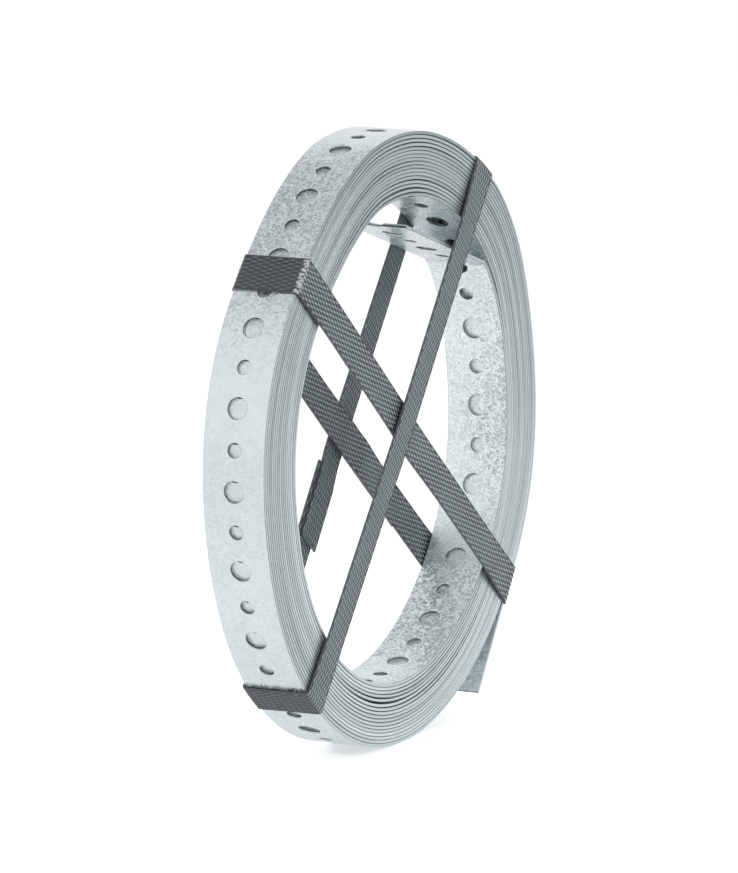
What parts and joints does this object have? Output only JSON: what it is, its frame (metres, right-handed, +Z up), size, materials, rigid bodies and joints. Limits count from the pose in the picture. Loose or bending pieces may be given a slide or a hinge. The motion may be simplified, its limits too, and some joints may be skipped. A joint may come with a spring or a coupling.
{
  "type": "coil of perforated steel band",
  "caption": "Coil of galvanised perforated steel fixing band tied by crossed plastic straps, standing on its rim; lengths are cut off and fixed through the holes.",
  "frame": {"origin": "on the floor under the middle of the coil", "axes": "+X to the right across the coil, +Y along its axis away from the near face, +Z up; the coil stands on its rim"},
  "size_m": [0.1848, 0.0228, 0.184],
  "materials": {
    "galvanised_steel": "hot-dip galvanised, fine spangle, semi-bright",
    "strap_plastic": "embossed grey strapping, dull"
  },
  "bodies": {
    "root": {"steel_band": "galvanised_steel", "inner_strap": "strap_plastic", "outer_strap": "strap_plastic"}
  },
  "joints": []
}
